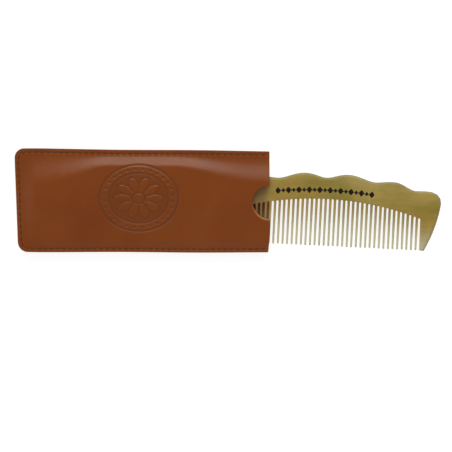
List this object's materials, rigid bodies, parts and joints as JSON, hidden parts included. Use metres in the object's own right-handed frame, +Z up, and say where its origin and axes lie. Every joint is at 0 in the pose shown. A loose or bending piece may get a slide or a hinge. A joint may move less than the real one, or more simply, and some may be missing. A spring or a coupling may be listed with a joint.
{
  "type": "beard comb",
  "caption": "Pocket beard comb of pale horn with a scalloped finger-grip spine, broad end guards and straight sawn teeth, half drawn from a flat stitched leather sleeve with a thumb notch.",
  "frame": {"origin": "under the middle of the sleeve, on the outer face of its back panel, which it rests on", "axes": "+X out of the sleeve's mouth, +Y towards the side of the comb's spine, +Z up through the front panel with the thumb notch"},
  "size_m": [0.2185, 0.053, 0.0072],
  "materials": {
    "horn": "satin",
    "leather": "satin",
    "thread": "matte"
  },
  "bodies": {
    "sleeve": {"front_panel": "leather", "back_panel": "leather", "needle_thread": "thread", "bobbin_thread": "thread"},
    "comb": {"comb_back": "horn", "comb_teeth": "horn"}
  },
  "joints": [
    {"name": "comb_slide", "type": "slide", "parent": "sleeve", "child": "comb", "axis": [0.9991, -0.0419, 0], "range_m": [-0.0931, 0.034]}
  ]
}
